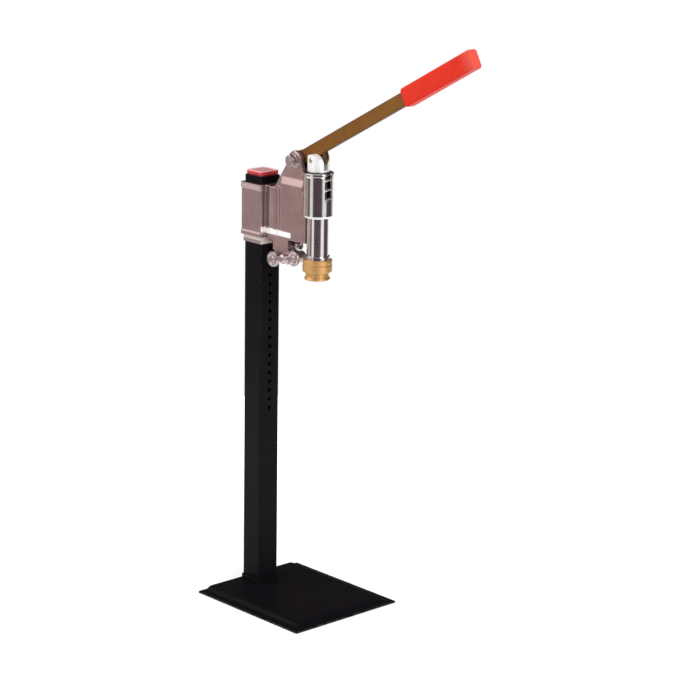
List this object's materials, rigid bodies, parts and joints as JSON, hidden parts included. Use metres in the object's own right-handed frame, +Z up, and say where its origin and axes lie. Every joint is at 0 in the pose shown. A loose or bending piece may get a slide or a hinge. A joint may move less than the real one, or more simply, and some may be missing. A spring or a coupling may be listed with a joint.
{
  "type": "bench bottle capper",
  "caption": "Bench bottle capper: a lever drives a sprung plunger and capping bell down from a head that slides on a square column.",
  "frame": {"origin": "centre of the base plate's underside, on the bench top", "axes": "+Z up along the column, -Y towards the bottle and the lever's grip, +X to the right seen from the bottle side"},
  "size_m": [0.16, 0.3693, 0.6931],
  "materials": {
    "black_enamel": "gloss",
    "rubber": "matte",
    "zinc_steel": "satin",
    "red_plastic": "gloss",
    "cast_aluminium": "satin",
    "nylon": "matte",
    "polished_steel": "polished",
    "spring_steel": "satin",
    "brass": "satin",
    "bronze": "satin",
    "lever_steel": "satin",
    "magnet": "matte",
    "grip_plastic": "gloss"
  },
  "bodies": {
    "frame": {"base_plate": "black_enamel", "base_feet": "rubber", "column_tube": "black_enamel", "column_foot_collar": "black_enamel", "column_foot_plug": "zinc_steel", "foot_bolts": "zinc_steel", "column_end_cap": "red_plastic"},
    "head": {"head_casting": "cast_aluminium", "column_liner": "nylon", "lock_block": "cast_aluminium", "lock_block_screws": "zinc_steel", "clamp_washer": "zinc_steel", "clamp_nut": "zinc_steel", "plunger_bush": "bronze", "return_spring": "spring_steel", "pivot_bolt": "zinc_steel", "pivot_washers": "zinc_steel", "pivot_nut": "zinc_steel"},
    "lever": {"lever_bar": "lever_steel", "lever_grip": "grip_plastic", "pivot_bush": "bronze", "lever_spacers": "nylon"},
    "plunger": {"plunger": "polished_steel", "fork_pin": "zinc_steel", "spring_seat_ring": "zinc_steel", "plunger_circlip": "spring_steel", "capping_bell": "brass", "bell_lock_ring": "zinc_steel", "keeper_screw": "zinc_steel", "holder_spring": "spring_steel"},
    "cap_holder": {"cap_holder": "brass", "cap_magnet": "magnet"},
    "index_pin": {"index_pin": "zinc_steel", "index_knob": "zinc_steel"},
    "wing_screw": {"wing_screw": "zinc_steel"}
  },
  "joints": [
    {"name": "head_slide", "type": "slide", "parent": "frame", "child": "head", "axis": [0, 0, 1], "range_m": [-0.207, 0]},
    {"name": "lever_hinge", "type": "hinge", "parent": "head", "child": "lever", "pos_m": [0, 0.002, 0.537], "axis": [1, 0, 0], "range_deg": [0, 48]},
    {"name": "plunger_slide", "type": "slide", "parent": "head", "child": "plunger", "axis": [0, 0, -1], "range_m": [0, 0.028], "stiffness_N_per_m": 1200, "springref_m": -0.03, "deforming": ["return_spring"]},
    {"name": "cap_holder_slide", "type": "slide", "parent": "plunger", "child": "cap_holder", "axis": [0, 0, 1], "range_m": [0, 0.0075], "stiffness_N_per_m": 800, "springref_m": -0.006, "deforming": ["holder_spring"]},
    {"name": "index_pin_slide", "type": "slide", "parent": "head", "child": "index_pin", "axis": [0, 1, 0], "range_m": [0, 0.0045]},
    {"name": "wing_screw_turn", "type": "hinge", "parent": "head", "child": "wing_screw", "pos_m": [0, 0.0115, 0.4199], "axis": [1, 0, 0], "range_deg": [-540, 0]}
  ],
  "couplings": [
    {"joint": "plunger_slide", "follows": "lever_hinge", "m_per_rad": 0.0334}
  ]
}
